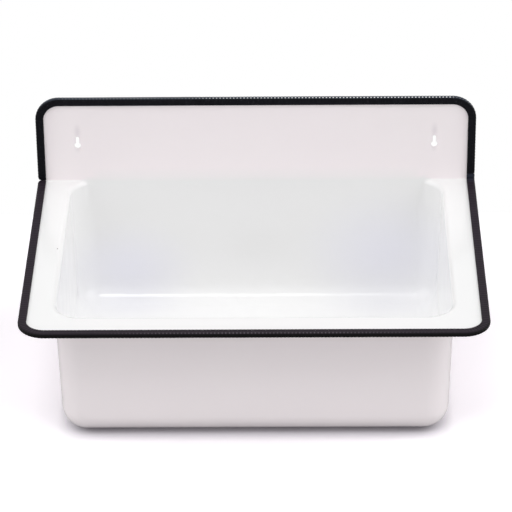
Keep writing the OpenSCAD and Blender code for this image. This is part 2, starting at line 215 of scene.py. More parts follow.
def vitreous_enamel():
    """White glass fired onto steel: hard gloss over a body that pulls a little uneven. The
    splashback and the outside get a pinker white than the bowl and the rim; that difference is
    painted light, the tint and level of the light that falls on each."""
    material, tree, skin = new_material("vitreous_enamel_fired")
    coordinates = add(tree, "ShaderNodeTexCoord")
    place = coordinates.outputs["Object"]
    # Painted light and shade on the bowl and the rim: steep walls and the lip are painted darker
    # than faces that look up, the lower half of the bowl is painted lighter, the rim's last 110 mm
    # towards the fold is painted darker, and each back corner gets a cool painted shade.
    axes = add(tree, "ShaderNodeSeparateXYZ", {"Vector": place})
    painted_light_depth = add(tree, "ShaderNodeMapRange", {
        "Value": axes.outputs["Z"],
        "From Min": (RIM_Z - 60.0) * MM, "From Max": (RIM_Z - 150.0) * MM,
    })
    fold_shade = add(tree, "ShaderNodeMapRange", {
        "Value": axes.outputs["Y"],
        "From Min": (FOLD_Y - 110.0) * MM, "From Max": (FOLD_Y - 10.0) * MM,
    })
    rim_white_fold_shade = add(tree, "ShaderNodeMix", {
        "Factor": fold_shade.outputs["Result"], "A": linear("#f7f7f7"), "B": linear("#efefef"),
    }, data_type="RGBA")
    painted_lit_white = add(tree, "ShaderNodeMix", {
        "Factor": painted_light_depth.outputs["Result"], "A": rim_white_fold_shade.outputs["Result"], "B": linear("#fcfcfc"),
    }, data_type="RGBA")
    facing = add(tree, "ShaderNodeSeparateXYZ", {"Vector": coordinates.outputs["Normal"]})
    level = add(tree, "ShaderNodeMapRange", {
        "Value": facing.outputs["Z"], "From Min": 0.85, "From Max": 0.99,
    })
    painted_light_share = add(tree, "ShaderNodeMath", {
        0: level.outputs["Result"], 1: painted_light_depth.outputs["Result"],
    }, operation="MAXIMUM")
    # Steep faces are painted darker; faces that look up and the low bowl are painted lighter.
    run = add(tree, "ShaderNodeMix", {
        "Factor": painted_light_share.outputs["Value"], "A": linear("#f2f2f2"), "B": painted_lit_white.outputs["Result"],
    }, data_type="RGBA")
    left_corner_shade = spot(tree, place, (-150.0, -10.0, -115.0), (95.0, 60.0, 75.0))
    right_corner_shade = spot(tree, place, (150.0, -10.0, -95.0), (115.0, 60.0, 95.0))
    corner_shades = add(tree, "ShaderNodeMath", {0: left_corner_shade, 1: right_corner_shade}, operation="ADD")
    second = add(tree, "ShaderNodeMix", {
        "Factor": corner_shades.outputs["Value"], "A": run.outputs["Result"], "B": linear("#efeff7"),
    }, data_type="RGBA")
    # The painted warmer white of the splashback and the outside varies in faint clouds about 110 mm
    # across.
    cloud = add(tree, "ShaderNodeTexNoise", {"Vector": place, "Scale": 9.0, "Detail": 1.0})
    first = add(tree, "ShaderNodeMix", {
        "Factor": cloud.outputs["Fac"], "A": linear("#fcf4f7"), "B": linear("#fdf6f8"),
    }, data_type="RGBA")
    bowl_rim_part = add(tree, "ShaderNodeAttribute", attribute_name="bowl_rim_share")
    both = add(tree, "ShaderNodeMix", {
        "Factor": bowl_rim_part.outputs["Fac"], "A": first.outputs["Result"], "B": second.outputs["Result"],
    }, data_type="RGBA")
    # A darker streak above each keyhole and one burnt speck on the left of the rim.
    mirrored = add(tree, "ShaderNodeVectorMath", {0: place}, operation="ABSOLUTE").outputs["Vector"]
    streak = spot(tree, mirrored, (KEY_X, 0.0, KEY_Z + 8.0), (5.5, 300.0, 14.0))
    streaked = add(tree, "ShaderNodeMix", {
        "Factor": streak, "A": both.outputs["Result"], "B": linear("#f0e8ec"),
    }, data_type="RGBA")
    speck = spot(tree, place, (-222.0, -161.0, 0.0), (1.2, 1.6, 3.0))
    tone = add(tree, "ShaderNodeMix", {
        "Factor": speck, "A": streaked.outputs["Result"], "B": linear("#6a5a52"),
    }, data_type="RGBA")
    tree.links.new(tone.outputs["Result"], skin.inputs["Base Color"])
    # The pressing's own waves, about 45 mm apart, and the glaze's orange peel, about 3 mm.
    wave = add(tree, "ShaderNodeTexNoise", {"Vector": place, "Scale": 22.0, "Detail": 1.0})
    peel = add(tree, "ShaderNodeTexNoise", {"Vector": place, "Scale": 330.0, "Detail": 1.0})
    long_bump = add(tree, "ShaderNodeBump", {
        "Height": wave.outputs["Fac"], "Strength": 0.35, "Distance": 0.0012,
    })
    bump = add(tree, "ShaderNodeBump", {
        "Height": peel.outputs["Fac"], "Strength": 0.12, "Distance": 0.00006,
        "Normal": long_bump.outputs["Normal"],
    })
    tree.links.new(bump.outputs["Normal"], skin.inputs["Normal"])
    skin.inputs["Roughness"].default_value = 0.14
    skin.inputs["IOR"].default_value = 1.5
    return material


def soft_pvc(name, clean, dust_sheen_colour, glint_colour, glints, glint_place, bend=None):
    """Extruded soft PVC: nearly matt, lighter where it faces up, which is dust and painted sheen,
    and with painted glints where the core's ribs lift its shoulder. The painted glints take a part
    of its length, about a given place, and a sharp bend is lighter grey. Both places are spots:
    their centre and reach."""
    material, tree, skin = new_material(name)
    coordinates = add(tree, "ShaderNodeTexCoord")
    place = coordinates.outputs["Object"]
    # The dust and painted sheen lie in patches about 17 mm across.
    facing = add(tree, "ShaderNodeSeparateXYZ", {"Vector": coordinates.outputs["Normal"]})
    speckle = add(tree, "ShaderNodeTexNoise", {"Vector": place, "Scale": 60.0, "Detail": 4.0})
    facing_up = add(tree, "ShaderNodeMapRange", {
        "Value": facing.outputs["Z"], "From Min": 0.35, "From Max": 0.95,
    })
    patchy = add(tree, "ShaderNodeMapRange", {
        "Value": speckle.outputs["Fac"], "From Min": 0.3, "From Max": 0.7, "To Min": 0.75,
    })
    dust_and_sheen = add(tree, "ShaderNodeMath", {
        0: facing_up.outputs["Result"], 1: patchy.outputs["Result"],
    }, operation="MULTIPLY")
    body = add(tree, "ShaderNodeMix", {
        "Factor": dust_and_sheen.outputs["Value"], "A": linear(clean), "B": linear(dust_sheen_colour),
    }, data_type="RGBA")
    if bend:
        bloom = spot(tree, place, *bend)
        body = add(tree, "ShaderNodeMix", {
            "Factor": bloom, "A": body.outputs["Result"], "B": linear("#30343f"),
        }, data_type="RGBA")
    # One painted glint to each rib, in stretches about 90 mm long.
    along = add(tree, "ShaderNodeAttribute", attribute_name="along")
    shoulder = add(tree, "ShaderNodeAttribute", attribute_name="shoulder")
    angle = add(tree, "ShaderNodeMath", {
        0: along.outputs["Fac"], 1: 2 * math.pi / (RIB_PITCH * MM),
    }, operation="MULTIPLY")
    ripple = add(tree, "ShaderNodeMath", {0: angle.outputs["Value"]}, operation="COSINE")
    rib = add(tree, "ShaderNodeMapRange", {"Value": ripple.outputs["Value"], "From Min": 0.0})
    stretch = add(tree, "ShaderNodeTexNoise", {"Vector": place, "Scale": 11.0, "Detail": 0.0})
    glint_weight = add(tree, "ShaderNodeMapRange", {
        "Value": stretch.outputs["Fac"], "From Min": 0.7 - glints, "From Max": 0.9 - glints,
    })
    on_shoulder = add(tree, "ShaderNodeMath", {
        0: rib.outputs["Result"], 1: shoulder.outputs["Fac"],
    }, operation="MULTIPLY")
    where_glinting = add(tree, "ShaderNodeMath", {
        0: glint_weight.outputs["Result"], 1: spot(tree, place, *glint_place),
    }, operation="MULTIPLY")
    glint = add(tree, "ShaderNodeMath", {
        0: on_shoulder.outputs["Value"], 1: where_glinting.outputs["Value"],
    }, operation="MULTIPLY")
    tone = add(tree, "ShaderNodeMix", {
        "Factor": glint.outputs["Value"], "A": body.outputs["Result"], "B": linear(glint_colour),
    }, data_type="RGBA")
    tree.links.new(tone.outputs["Result"], skin.inputs["Base Color"])
    rough = add(tree, "ShaderNodeMapRange", {
        "Value": speckle.outputs["Fac"], "To Min": 0.4, "To Max": 0.56,
    })
    tree.links.new(rough.outputs["Result"], skin.inputs["Roughness"])
    # The extruded skin's grain, about 1 mm, which is as coarse as it needs to show.
    grain = add(tree, "ShaderNodeTexNoise", {"Vector": place, "Scale": 900.0, "Detail": 1.0})
    bump = add(tree, "ShaderNodeBump", {
        "Height": grain.outputs["Fac"], "Strength": 0.25, "Distance": 0.00008,
    })
    tree.links.new(bump.outputs["Normal"], skin.inputs["Normal"])
    skin.inputs["Specular IOR Level"].default_value = 0.09
    return material


def turned_metal(name, colour, roughness, ring_mm):
    """Metal with fine rings left by turning or polishing on a spindle, round the drain's axis."""
    material, tree, skin = new_material(name)
    place = add(tree, "ShaderNodeTexCoord").outputs["Object"]
    centred = add(tree, "ShaderNodeMapping", {
        "Vector": place, "Location": (0.0, -(FOLD_Y + DRAIN_Y) * MM, 0.0),
    })
    # A wave's period is 1 / (scale * 3.18) of a metre along the radius.
    rings = add(tree, "ShaderNodeTexWave", {
        "Vector": centred.outputs["Vector"], "Scale": 1 / (ring_mm * MM * 3.18),
        "Distortion": 0.4, "Detail": 1.0,
    }, wave_type="RINGS", rings_direction="Z")
    bump = add(tree, "ShaderNodeBump", {
        "Height": rings.outputs["Fac"], "Strength": 0.18, "Distance": 0.00003,
    })
    tree.links.new(bump.outputs["Normal"], skin.inputs["Normal"])
    # Wiping leaves the gloss blotched, about 8 mm across.
    blotch = add(tree, "ShaderNodeTexNoise", {"Vector": place, "Scale": 120.0, "Detail": 3.0})
    rough = add(tree, "ShaderNodeMapRange", {
        "Value": blotch.outputs["Fac"], "To Min": roughness * 0.8, "To Max": roughness * 1.25,
    })
    tree.links.new(rough.outputs["Result"], skin.inputs["Roughness"])
    skin.inputs["Base Color"].default_value = linear(colour)
    skin.inputs["Metallic"].default_value = 1.0
    return material


def moulded_rubber():
    """Moulded rubber: matt, nearly black, with a grey bloom in specks of about 4 mm."""
    material, tree, skin = new_material("moulded_rubber")
    place = add(tree, "ShaderNodeTexCoord").outputs["Object"]
    bloom = add(tree, "ShaderNodeTexNoise", {"Vector": place, "Scale": 250.0, "Detail": 3.0})
    tone = add(tree, "ShaderNodeMix", {
        "Factor": bloom.outputs["Fac"], "A": linear("#2b2b2d"), "B": linear("#3a3a3c"),
    }, data_type="RGBA")
    tree.links.new(tone.outputs["Result"], skin.inputs["Base Color"])
    skin.inputs["Roughness"].default_value = 0.7
    return material


def moulded_polypropylene():
    """Injection-moulded polypropylene: milky white, satin, with a spark-eroded grain of 0.7 mm."""
    material, tree, skin = new_material("moulded_polypropylene")
    place = add(tree, "ShaderNodeTexCoord").outputs["Object"]
    grain = add(tree, "ShaderNodeTexNoise", {"Vector": place, "Scale": 1400.0, "Detail": 1.0})
    bump = add(tree, "ShaderNodeBump", {
        "Height": grain.outputs["Fac"], "Strength": 0.2, "Distance": 0.00005,
    })
    tree.links.new(bump.outputs["Normal"], skin.inputs["Normal"])
    skin.inputs["Base Color"].default_value = linear("#e4e4e0")
    skin.inputs["Roughness"].default_value = 0.42
    skin.inputs["Subsurface Weight"].default_value = 0.1
    skin.inputs["Subsurface Radius"].default_value = (0.004, 0.004, 0.004)
    skin.inputs["Subsurface Scale"].default_value = 0.5
    return material


enamel = vitreous_enamel()
rim_pvc = soft_pvc(
    "extruded_soft_pvc_rim", "#0a090a", "#272028", "#655f67", 0.34,
    glint_place=((0.0, -REACH, 0.0), (250.0, 60.0, 40.0)), bend=((250.0, -4.0, 6.0), (12.0, 9.0, 9.0)),
)
splash_pvc = soft_pvc(
    "extruded_soft_pvc_splashback", "#0e0e13", "#363c46", "#ffffff", 0.52,
    glint_place=((170.0, 0.0, SPLASH_H), (520.0, 60.0, 70.0)),
)
stainless = turned_metal("polished_stainless_steel", "#c8c7c3", 0.22, 0.35)
spring_steel = turned_metal("bare_spring_steel", "#a8a7a6", 0.4, 0.8)
brass = turned_metal("turned_brass", "#cfa65a", 0.3, 0.5)
rubber = moulded_rubber()
polypropylene = moulded_polypropylene()


# Basin

# The sine of a station's direction at which a back corner ends and the back wall begins.
CORNER_END = 0.86


def bowl_stations():
    """The bowl's plan, anticlockwise: base point on the inner rectangle, outward direction, and
    whether the way out from there runs over the fold. The two turns at which it starts to are
    exact, so that the fold ends at the sheet's edge."""
    deep, wide, corner = 27, 45, 39
    turn = math.atan2(-AXIS_BACK - FOLD_R, SHEET_HALF - AXIS_X)
    right = np.concatenate([np.linspace(0, turn, 11)[:-1], np.linspace(turn, math.pi / 2, 31)])
    left = math.pi - right[::-1]
    quarter = np.linspace(0, math.pi / 2, corner)
    stations = []
    for y in np.linspace(AXIS_FRONT, AXIS_BACK, deep)[:-1]:
        stations.append((AXIS_X, y, 0.0))
    for a in right[:-1]:
        stations.append((AXIS_X, AXIS_BACK, a))
    for x in np.linspace(AXIS_X, -AXIS_X, wide)[:-1]:
        stations.append((x, AXIS_BACK, math.pi / 2))
    for a in left[:-1]:
        stations.append((-AXIS_X, AXIS_BACK, a))
    for y in np.linspace(AXIS_BACK, AXIS_FRONT, deep)[:-1]:
        stations.append((-AXIS_X, y, math.pi))
    for a in quarter[:-1]:
        stations.append((-AXIS_X, AXIS_FRONT, math.pi + a))
    for x in np.linspace(-AXIS_X, AXIS_X, wide)[:-1]:
        stations.append((x, AXIS_FRONT, 1.5 * math.pi))
    for a in quarter[:-1]:
        stations.append((AXIS_X, AXIS_FRONT, 1.5 * math.pi + a))
    over_fold = [turn - TINY <= a <= math.pi - turn + TINY for _, _, a in stations]
    return stations, over_fold


def mouth_height(run):
    """Height of the rim's turn-down at a run outside the corner axes."""
    if run >= MOUTH_RUN:
        return 0.0
    return -MOUTH_R + math.sqrt(max(MOUTH_R ** 2 - (MOUTH_RUN - run) ** 2, 0.0))


def fold_height(y):
    """Height of the fold's fillet in front of the splashback."""
    if y <= -FOLD_R:
        return 0.0
    return FOLD_R - math.sqrt(max(FOLD_R ** 2 - (y + FOLD_R) ** 2, 0.0))


def run_of(x, y):
    """How far a point of the plan lies outside the corner axes."""
    return math.hypot(max(abs(x) - AXIS_X, 0.0), max(y - AXIS_BACK, 0.0, AXIS_FRONT - y))


def run_to_edge(x, y, a):
    """How far out of a station the sheet's edge lies, on the rim's three free sides."""
    c, s = math.cos(a), math.sin(a)
    r = RIM_CORNER_R - STRIP_WEB
    side = (SHEET_HALF - abs(x)) / abs(c) if abs(c) > TINY else FAR
    front = (y - SHEET_FRONT) / -s if s < -TINY else FAR
    run = min(side, front)
    ex, ey = abs(x + run * c), y + run * s
    cx, cy = SHEET_HALF - r, SHEET_FRONT + r
    if ex > cx and ey < cy:
        dx, dy = abs(x) - cx, y - cy
        b = dx * abs(c) + dy * s
        run = -b + math.sqrt(b * b - (dx * dx + dy * dy - r * r))
    return run


def splash_outline(count_arc, count_top):
    """Points of the sheet's upper edge from the right end of the top corner to the left one."""
    r = SPLASH_CORNER_R - STRIP_WEB
    cx, cz = SHEET_HALF - r, SHEET_TOP - r
    turns = np.linspace(0, math.pi / 2, count_arc)
    arc = [(cx + r * math.cos(a), cz + r * math.sin(a)) for a in turns]
    top = [(x, SHEET_TOP) for x in np.linspace(cx, -cx, count_top + 2)[1:-1]]
    return arc + top + [(-x, z) for x, z in arc[::-1]]


def bowl_rows(stations):
    """Rows of points from the drain hole outwards: the recess for the strainer, the floor, the
    round foot of the wall and the wall."""
    rows = []

    def round_row(radius, z):
        """A circle about the drain, whose points face their stations at the foot of the wall."""
        foot = 24
        row = []
        for x, y, a in stations:
            px, py = x + foot * math.cos(a), y + foot * math.sin(a)
            turn = math.atan2(py - DRAIN_Y, px)
            row.append((radius * math.cos(turn), DRAIN_Y + radius * math.sin(turn), z))
        rows.append(row)

    def bowl_row(run, z):
        """A ring at a run outside the corner axes."""
        rows.append([(x + run * math.cos(a), y + run * math.sin(a), z) for x, y, a in stations])

    lip_r = SEAT_R + math.sqrt((2 * RECESS_R) ** 2 - (2 * RECESS_R - RECESS_DEPTH) ** 2)
    lean = math.atan2(2 * RECESS_R - RECESS_DEPTH, lip_r - SEAT_R)
    for radius in (DRAIN_R, DRAIN_R + 1, DRAIN_R + 5, SEAT_R - 1):
        round_row(radius, SEAT_Z)
    for t in np.linspace(-math.pi / 2, -lean, 9):
        round_row(SEAT_R + RECESS_R * math.cos(t), SEAT_Z + RECESS_R + RECESS_R * math.sin(t))
    for t in np.linspace(math.pi - lean, math.pi / 2, 9)[1:]:
        round_row(lip_r + RECESS_R * math.cos(t), -BOWL_DEPTH - RECESS_R + RECESS_R * math.sin(t))
    round_row(lip_r + 1.5, -BOWL_DEPTH)
    ring = rows[-1]
    for t in (0.2, 0.45, 0.7, 0.9):
        rows.append([
            (c[0] + t * (x - c[0]), c[1] + t * (y - c[1]), -BOWL_DEPTH)
            for c, (x, y, _) in zip(ring, stations)
        ])
    bowl_row(1.2, -BOWL_DEPTH)
    for t in np.linspace(math.radians(8), math.pi / 2 - DRAFT, 15):
        bowl_row(BOWL_R * math.sin(t), -BOWL_DEPTH + BOWL_R - BOWL_R * math.cos(t))
    toe = (BOWL_R * math.cos(DRAFT), -BOWL_DEPTH + BOWL_R - BOWL_R * math.sin(DRAFT))
    for t in np.linspace(0, 1, 13)[1:-1]:
        bowl_row(toe[0] + t * (WALL_RUN - toe[0]), toe[1] + t * (FOOT_Z - toe[1]))
    return rows


def rim_rows(stations, over_fold):
    """Rows from the top of the wall to the sheet's edge, or to the start of the fold."""
    arc_rows = 13
    flat_steps = (0.06, 0.3, 0.65, 1.0)
    rows = np.empty((arc_rows + len(flat_steps), len(stations), 3))
    for i, (x, y, a) in enumerate(stations):
        c, s = math.cos(a), math.sin(a)
        if over_fold[i]:
            run_wall = -y / s
            run_fold = run_wall - FOLD_R / s
            end = max(run_fold, WALL_RUN + 0.5 * (run_wall - WALL_RUN))
        else:
            end = run_to_edge(x, y, a)
        knee = min(MOUTH_RUN, WALL_RUN + 0.8 * (end - WALL_RUN))
        tilt = math.acos(min((MOUTH_RUN - knee) / MOUTH_R, 1.0))
        runs = [MOUTH_RUN - MOUTH_R * math.cos(t) for t in np.linspace(DRAFT, tilt, arc_rows)]
        runs += [knee + t * (end - knee) for t in flat_steps]
        for k, run in enumerate(runs):
            py = y + run * s
            rows[k, i] = (x + run * c, py, mouth_height(run) + fold_height(py))
    return list(rows)


def straighten_back(points, stations, over_fold):
    """Lets the back wall run up into the splashback in one long, soft curve, which dies out
    towards the corners."""
    low, high = -22.0, 2.0
    start = -BACK_STEP - (FOOT_Z - low) * math.tan(DRAFT)
    slope = math.tan(DRAFT) * (high - low)
    for i, (_, _, a) in enumerate(stations):
        share = np.clip((math.sin(a) - CORNER_END) / (1 - CORNER_END), 0, 1)
        share = share * share * (3 - 2 * share)
        if share == 0 or not over_fold[i]:
            continue
        for point in points[:, i]:
            if point[2] < low:
                continue
            t = (point[2] - low) / (high - low)
            soft = start * (1 - t) ** 2 * (1 + 2 * t) + slope * t * (1 - t) ** 2
            point[1] += share * (min(soft, 0.0) - point[1])


def splashback_rows(below, stations):
    """Rows over the fold and up the splashback, from the rim's last row at the stations given."""
    fold_rows = 9
    splash_steps = (0.015, 0.06, 0.18, 0.38, 0.6, 0.82, 1.0)
    least_rise = 0.05
    right = [a for x, _, a in stations if x > 0]
    arc_count = 1 + sum(1 for a in right if math.sin(a) < CORNER_END)
    outline = splash_outline(arc_count, len(stations) - 2 * arc_count)
    rows = np.empty((fold_rows + len(splash_steps), len(stations), 3))
    for j, (px, py, pz) in enumerate(below):
        tilt = math.asin(min(max((py + FOLD_R) / FOLD_R, 0.0), 1.0))
        for k, t in enumerate(np.linspace(tilt, math.pi / 2, fold_rows + 1)[1:]):
            qy = -FOLD_R + FOLD_R * math.sin(t)
            qz = mouth_height(run_of(px, qy)) + fold_height(qy)
            rows[k, j] = (px, qy, max(qz, pz + least_rise * (k + 1)))
        qx, _, qz = rows[fold_rows - 1, j]
        ex, ez = outline[j]
        for k, t in enumerate(splash_steps):
            rows[fold_rows + k, j] = (qx + t * (ex - qx), 0.0, qz + t * (ez - qz))
    return rows


def basin_front_face():
    """The enamelled sheet's upper and front face as one grid, from the drain hole outwards."""
    stations, over_fold = bowl_stations()
    count = len(stations)
    points = np.array(bowl_rows(stations) + rim_rows(stations, over_fold))
    straighten_back(points, stations, over_fold)
    back = [i for i in range(count) if over_fold[i]]
    upper = splashback_rows(points[-1, back], [stations[i] for i in back])

    faces = []
    for k in range(len(points) - 1):
        for i in range(count):
            n = (i + 1) % count
            faces.append((k * count + n, k * count + i, (k + 1) * count + i, (k + 1) * count + n))
    first = len(points) * count
    width = len(back)
    below = [(len(points) - 1) * count + i for i in back]
    for k in range(len(upper)):
        above = [first + k * width + j for j in range(width)]
        for j in range(width - 1):
            faces.append((below[j + 1], below[j], above[j], above[j + 1]))
        below = above
    return np.concatenate([points.reshape(-1, 3), upper.reshape(-1, 3)]), faces


def keyhole_cutter(side):
    """A prism in the keyhole's outline, through the splashback."""
    outline = []
    for a in np.linspace(0, math.pi, 17):
        outline.append((KEY_SLOT_R * math.cos(a), KEY_SLOT_R * math.sin(a)))
    open_angle = math.asin(KEY_SLOT_R / KEY_R)
    for a in np.linspace(math.pi / 2 + open_angle, 2.5 * math.pi - open_angle, 33):
        outline.append((KEY_R * math.cos(a), -KEY_DROP + KEY_R * math.sin(a)))
    n = len(outline)
    ahead, behind = -3.0, 5.0
    points = [(side * KEY_X + u, y, KEY_Z + v) for y in (ahead, behind) for u, v in outline]
    faces = [tuple(range(n)), tuple(range(2 * n - 1, n - 1, -1))]
    faces += [((i + 1) % n, i, n + i, n + (i + 1) % n) for i in range(n)]
    return new_piece("keyhole_cutter", points, faces, smooth=False)


def soften_keyholes(piece, radius):
    """Glass pulls round at a punched edge, so the keyholes' edges get a small radius."""
    cut_mesh = bmesh.new()
    cut_mesh.from_mesh(piece.data)
    front, rear = FOLD_Y * MM, (FOLD_Y + SHEET_T) * MM
    half_w = (KEY_R + 1.0) * MM
    foot, top = -(KEY_DROP + KEY_R + 1.0) * MM, (KEY_SLOT_R + 1.0) * MM
    flush, sharp = 1e-6, 1.2
    picked = []
    for edge in cut_mesh.edges:
        middle = (edge.verts[0].co + edge.verts[1].co) / 2
        near = abs(abs(middle.x) - KEY_X * MM) < half_w and foot < middle.z < top
        on_face = min(abs(middle.y - front), abs(middle.y - rear)) < flush
        if near and on_face and len(edge.link_faces) == 2 and edge.calc_face_angle(0) > sharp:
            picked.append(edge)
    bmesh.ops.bevel(
        cut_mesh, geom=picked, offset=radius * MM, segments=3, profile=0.5, affect="EDGES",
        clamp_overlap=True,
    )
    cut_mesh.to_mesh(piece.data)
    cut_mesh.free()


def make_basin():
    points, faces = basin_front_face()
    basin = new_piece("enamelled_basin", points, faces)
    wall = basin.modifiers.new("sheet", "SOLIDIFY")
    wall.thickness = SHEET_T * MM
    wall.offset = -1
    wall.use_even_offset = True
    finished_mesh(basin)
    # The bowl and rim's white, against the painted warmer white of the splashback and the outside,
    # ends at the fold, over 1 mm beside the bowl and over 13 mm behind it. The thickened sheet
    # keeps the front face's points first, and only they have it.
    places = np.empty(len(basin.data.vertices) * 3)
    basin.data.vertices.foreach_get("co", places)
    places = places.reshape(-1, 3) / MM
    height = places[:, 2] - RIM_Z
    behind = np.clip((205.0 - np.abs(places[:, 0])) / 25.0, 0.0, 1.0)
    bowl_rim_part = np.clip((1.5 + 10.0 * behind - height) / (1.0 + 12.0 * behind), 0.0, 1.0)
    bowl_rim_part[len(points):] = 0.0
    mark(basin, "bowl_rim_share", bowl_rim_part)
    combine(basin, [keyhole_cutter(-1), keyhole_cutter(1)], "DIFFERENCE")
    soften_keyholes(basin, 0.25)
    even_shading(basin)
    dress(basin, enamel)
    return basin


basin = make_basin()
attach(basin, "root")
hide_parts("basin")


# Edge strips

def strip_section():
    """The strip's section: distance in from its outer face, height over the sheet's middle, and
    how much the core's ribs show there, from 1 on the outside to 0 in the channel."""
    half, tip, grip = STRIP_T / 2, 1.0, SHEET_T / 2 + GRIP_GAP
    upper = []
    for t in np.linspace(0, math.pi / 2, 9):
        a, b = SHOULDER_R - SHOULDER_R * math.cos(t), half - SHOULDER_R + SHOULDER_R * math.sin(t)
        upper.append((a, b, 1.0))
    for a in (3.6, 5.2, 6.9):
        upper.append((a, half, 1.0))
    for t in np.linspace(math.pi / 2, 0, 5):
        a, b = STRIP_W - tip + tip * math.cos(t), half - tip + tip * math.sin(t)
        upper.append((a, b, 0.7 * math.sin(t)))
    upper.append((STRIP_W, grip, 0.0))
    # Two gripping lips bear on the sheet.
    lips = (STRIP_WEB + STRIP_W) / 2
    head, root = LIP_W / 2, LIP_W / 2 + GRIP_GAP
    for middle in (lips + LIP_PITCH / 2, lips - LIP_PITCH / 2):
        for a, b in ((root, grip), (head, SHEET_T / 2), (-head, SHEET_T / 2), (-root, grip)):
            upper.append((middle + a, b, 0.0))
    upper.append((STRIP_WEB, grip, 0.0))
    lower = [(a, -b, w) for a, b, w in upper[::-1]]
    web = [(0.0, b, 1.0) for b in (-0.35, 0.35)]
    return upper + lower + web


def along_line(start, end, step):
    """Even stops from one point to another, about a step apart."""
    count = max(int(round(math.dist(start, end) / step)), 1)
    start, end = np.array(start), np.array(end)
    return [tuple(start + t * (end - start)) for t in np.linspace(0, 1, count + 1)]


def rim_path(step):
    """Stations of the rim's strip: point on its outer face, outward direction, direction across
    the sheet. It starts on the left, short of the fold, and ends turned up the right side."""
    path = []
    mid = -SHEET_T / 2
    across = (0, 0, 1)
    corner_y = RIM_CORNER_R - REACH
    for p in along_line((-HALF_W, -FOLD_R - END_GAP, mid), (-HALF_W, corner_y, mid), step)[:-1]:
        path.append((p, (-1, 0, 0), across))
    turns = int(RIM_CORNER_R * math.pi / 2 / step)
    for side, first in ((-1, math.pi), (1, 1.5 * math.pi)):
        cx = side * (HALF_W - RIM_CORNER_R)
        for t in np.linspace(first, first + math.pi / 2, turns + 1)[:-1]:
            out = (math.cos(t), math.sin(t), 0)
            p = (cx + RIM_CORNER_R * out[0], corner_y + RIM_CORNER_R * out[1], mid)
            path.append((p, out, across))
        if side < 0:
            for p in along_line((cx, -REACH, mid), (-cx, -REACH, mid), step)[:-1]:
                path.append((p, (0, -1, 0), across))
    for p in along_line((HALF_W, corner_y, mid), (HALF_W, -FOLD_R, mid), step)[:-1]:
        path.append((p, (1, 0, 0), across))
    bend = FOLD_R - mid
    for t in np.linspace(0, math.pi / 2, 9)[:-1]:
        p = (HALF_W, -FOLD_R + bend * math.sin(t), FOLD_R - bend * math.cos(t))
        path.append((p, (1, 0, 0), (0, -math.sin(t), math.cos(t))))
    for p in along_line((HALF_W, -mid, FOLD_R), (HALF_W, -mid, TURN_UP - JOINT_GAP), step):
        path.append((p, (1, 0, 0), (0, -1, 0)))
    return path


def splashback_path(step):
    """Stations of the splashback's strip, from its left end up, across and down."""
    path = []
    mid = SHEET_T / 2
    corner_z = SPLASH_H - SPLASH_CORNER_R
    cx = HALF_W - SPLASH_CORNER_R
    turns = int(SPLASH_CORNER_R * math.pi / 2 / step)
    across = (0, -1, 0)
    for p in along_line((-HALF_W, mid, FOLD_R + END_GAP), (-HALF_W, mid, corner_z), step)[:-1]:
        path.append((p, (-1, 0, 0), across))
    for side, first in ((-1, math.pi), (1, math.pi / 2)):
        for t in np.linspace(first, first - math.pi / 2, turns + 1)[:-1]:
            out = (math.cos(t), 0, math.sin(t))
            p = (side * cx + SPLASH_CORNER_R * out[0], mid, corner_z + SPLASH_CORNER_R * out[2])
            path.append((p, out, across))
        if side < 0:
            for p in along_line((-cx, mid, SPLASH_H), (cx, mid, SPLASH_H), step)[:-1]:
                path.append((p, (0, 0, 1), across))
    for p in along_line((HALF_W, mid, corner_z), (HALF_W, mid, TURN_UP + JOINT_GAP), step):
        path.append((p, (1, 0, 0), across))
    return path


def strip_body(name, path, first_end_r, last_end_r, glint_line, glint_reach):
    """Sweeps the section along a path, with its cut ends' outer corners taken off. Painted glints
    lie along a line at a distance in from the outer face. They are full over the inner third of
    their reach to both sides of it and fade over the rest."""
    section = strip_section()
    runs = np.diff(np.array([p for p, _, _ in path]), axis=0)
    strides = np.linalg.norm(runs, axis=1)
    length = np.concatenate([[0], np.cumsum(strides)])
    total = length[-1]
    # The painted glints on the ribs are faint where the strip goes round a corner. The change is
    # spread over a few stations.
    runs /= strides[:, None]
    turn = np.concatenate([[0.0], 1.0 - np.sum(runs[1:] * runs[:-1], axis=1), [0.0]])
    spread, on_corner, least_turn = 9, 0.15, 1e-5
    straight = np.where(turn > least_turn, on_corner, 1.0)
    straight = np.convolve(straight, np.ones(spread) / spread, "same")
    # In the upright bend the section stays outside the bend's own axis.
    bend_limit = 2.9
    # Near a cut end, the ribs fade out.
    end_fade = 1.5
    points, along, crest, glint_weight = [], [], [], []
    for (p, out, across), s, level in zip(path, length, straight):
        short = 0.0
        for gap, r in ((s, first_end_r), (total - s, last_end_r)):
            if gap < r:
                short = max(short, r - math.sqrt(max(r * r - (r - gap) ** 2, 0.0)))
        p, out, across = np.array(p, float), np.array(out, float), np.array(across, float)
        in_bend = across[2] * -across[1] > TINY
        for a, b, w in section:
            a = short + a * (STRIP_W - short) / STRIP_W
            if in_bend:
                b = min(b, bend_limit)
            points.append(p - out * a + across * b)
            along.append(s * MM)
            crest.append(w * min(s, total - s, end_fade) / end_fade)
            near_line = 1.5 - 1.5 * abs(a - short - glint_line) / glint_reach
            glint_weight.append(level * min(max(near_line, 0.0), 1.0) if b > SHEET_T / 2 else 0.0)
    n = len(section)
    faces = []
    for k in range(len(path) - 1):
        for i in range(n):
            m = (i + 1) % n
            faces.append((k * n + i, k * n + m, (k + 1) * n + m, (k + 1) * n + i))
    faces.append(tuple(range(n - 1, -1, -1)))
    faces.append(tuple((len(path) - 1) * n + i for i in range(n)))
    piece = new_piece(name, points, faces)
    face_outwards(piece)
    mark(piece, "along", along)
    mark(piece, "crest", crest)
    mark(piece, "shoulder", glint_weight)
    return piece


